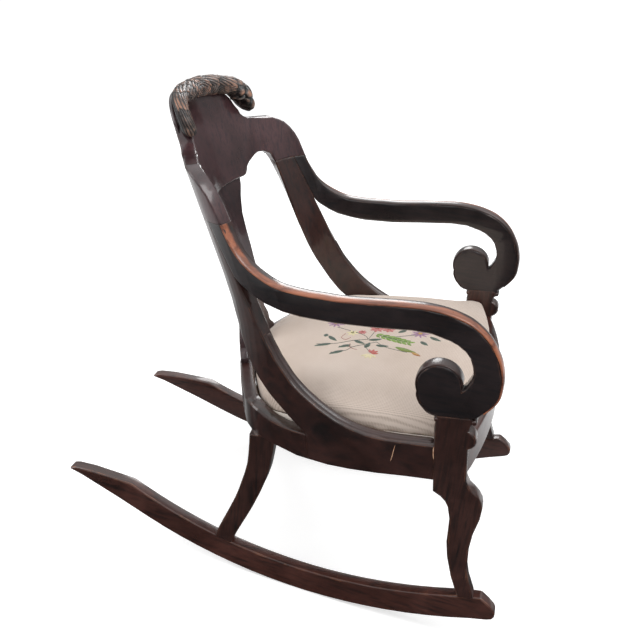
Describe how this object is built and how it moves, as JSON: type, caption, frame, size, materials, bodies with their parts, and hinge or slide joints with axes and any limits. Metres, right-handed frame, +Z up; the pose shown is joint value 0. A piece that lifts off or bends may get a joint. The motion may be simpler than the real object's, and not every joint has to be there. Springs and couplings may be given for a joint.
{
  "type": "rocking chair",
  "caption": "Wooden rocking chair with scroll arms, a curved back with a solid splat, a carved crest and a drop-in padded needlework seat, on bow rockers.",
  "frame": {"origin": "middle of the bounding box in plan, on the floor", "axes": "+Z up, -Y to the front (the way the sitter faces), +X to the sitter's left"},
  "size_m": [0.5402, 0.8786, 0.897],
  "materials": {
    "mahogany": "old dark red-brown polish, glossy, worn at the edges",
    "carved_mahogany": "carved, dark in the hollows and copper-brown on the high places",
    "inner_wood": "unpolished secondary wood",
    "needlework": "ribbed wool canvas with worked flowers",
    "jute": "woven webbing",
    "black_cloth": "thin plain cambric",
    "steel": "plain screw"
  },
  "bodies": {
    "chair": {"rocker_left": "mahogany", "rocker_right": "mahogany", "front_leg_left": "mahogany", "front_leg_right": "mahogany", "side_frame_left": "mahogany", "side_frame_right": "mahogany", "arm_left": "mahogany", "arm_right": "mahogany", "rear_leg_left": "mahogany", "rear_leg_right": "mahogany", "rear_rail": "mahogany", "crest_board": "mahogany", "front_rail": "mahogany", "splat": "mahogany", "crest_roll": "carved_mahogany", "dowel_crest_rear_left": "inner_wood", "dowel_crest_rear_right": "inner_wood", "dowel_crest_front_left": "inner_wood", "dowel_crest_front_right": "inner_wood", "dowel_post_left": "inner_wood", "dowel_post_right": "inner_wood", "dowel_scroll_left": "inner_wood", "dowel_scroll_right": "inner_wood", "dowel_rail_left": "inner_wood", "dowel_rail_right": "inner_wood", "dowel_front_rail_left": "inner_wood", "dowel_front_rail_right": "inner_wood", "dowel_rear_leg_left": "inner_wood", "dowel_rear_leg_right": "inner_wood", "corner_block_front_left": "inner_wood", "corner_block_front_right": "inner_wood", "corner_block_rear_left": "inner_wood", "corner_block_rear_right": "inner_wood", "rocker_screw_front_left": "steel", "rocker_screw_front_right": "steel", "rocker_screw_rear_left": "steel", "rocker_screw_rear_right": "steel"},
    "seat": {"seat_frame_front": "inner_wood", "seat_frame_back": "inner_wood", "seat_frame_side_left": "inner_wood", "seat_frame_side_right": "inner_wood", "seat_webbing": "jute", "seat_pad": "needlework", "seat_dust_cover": "black_cloth"}
  },
  "joints": [
    {"name": "seat_lift", "type": "slide", "parent": "chair", "child": "seat", "axis": [0, 0.1253, 0.9921], "range_m": [0, 0.08]}
  ]
}
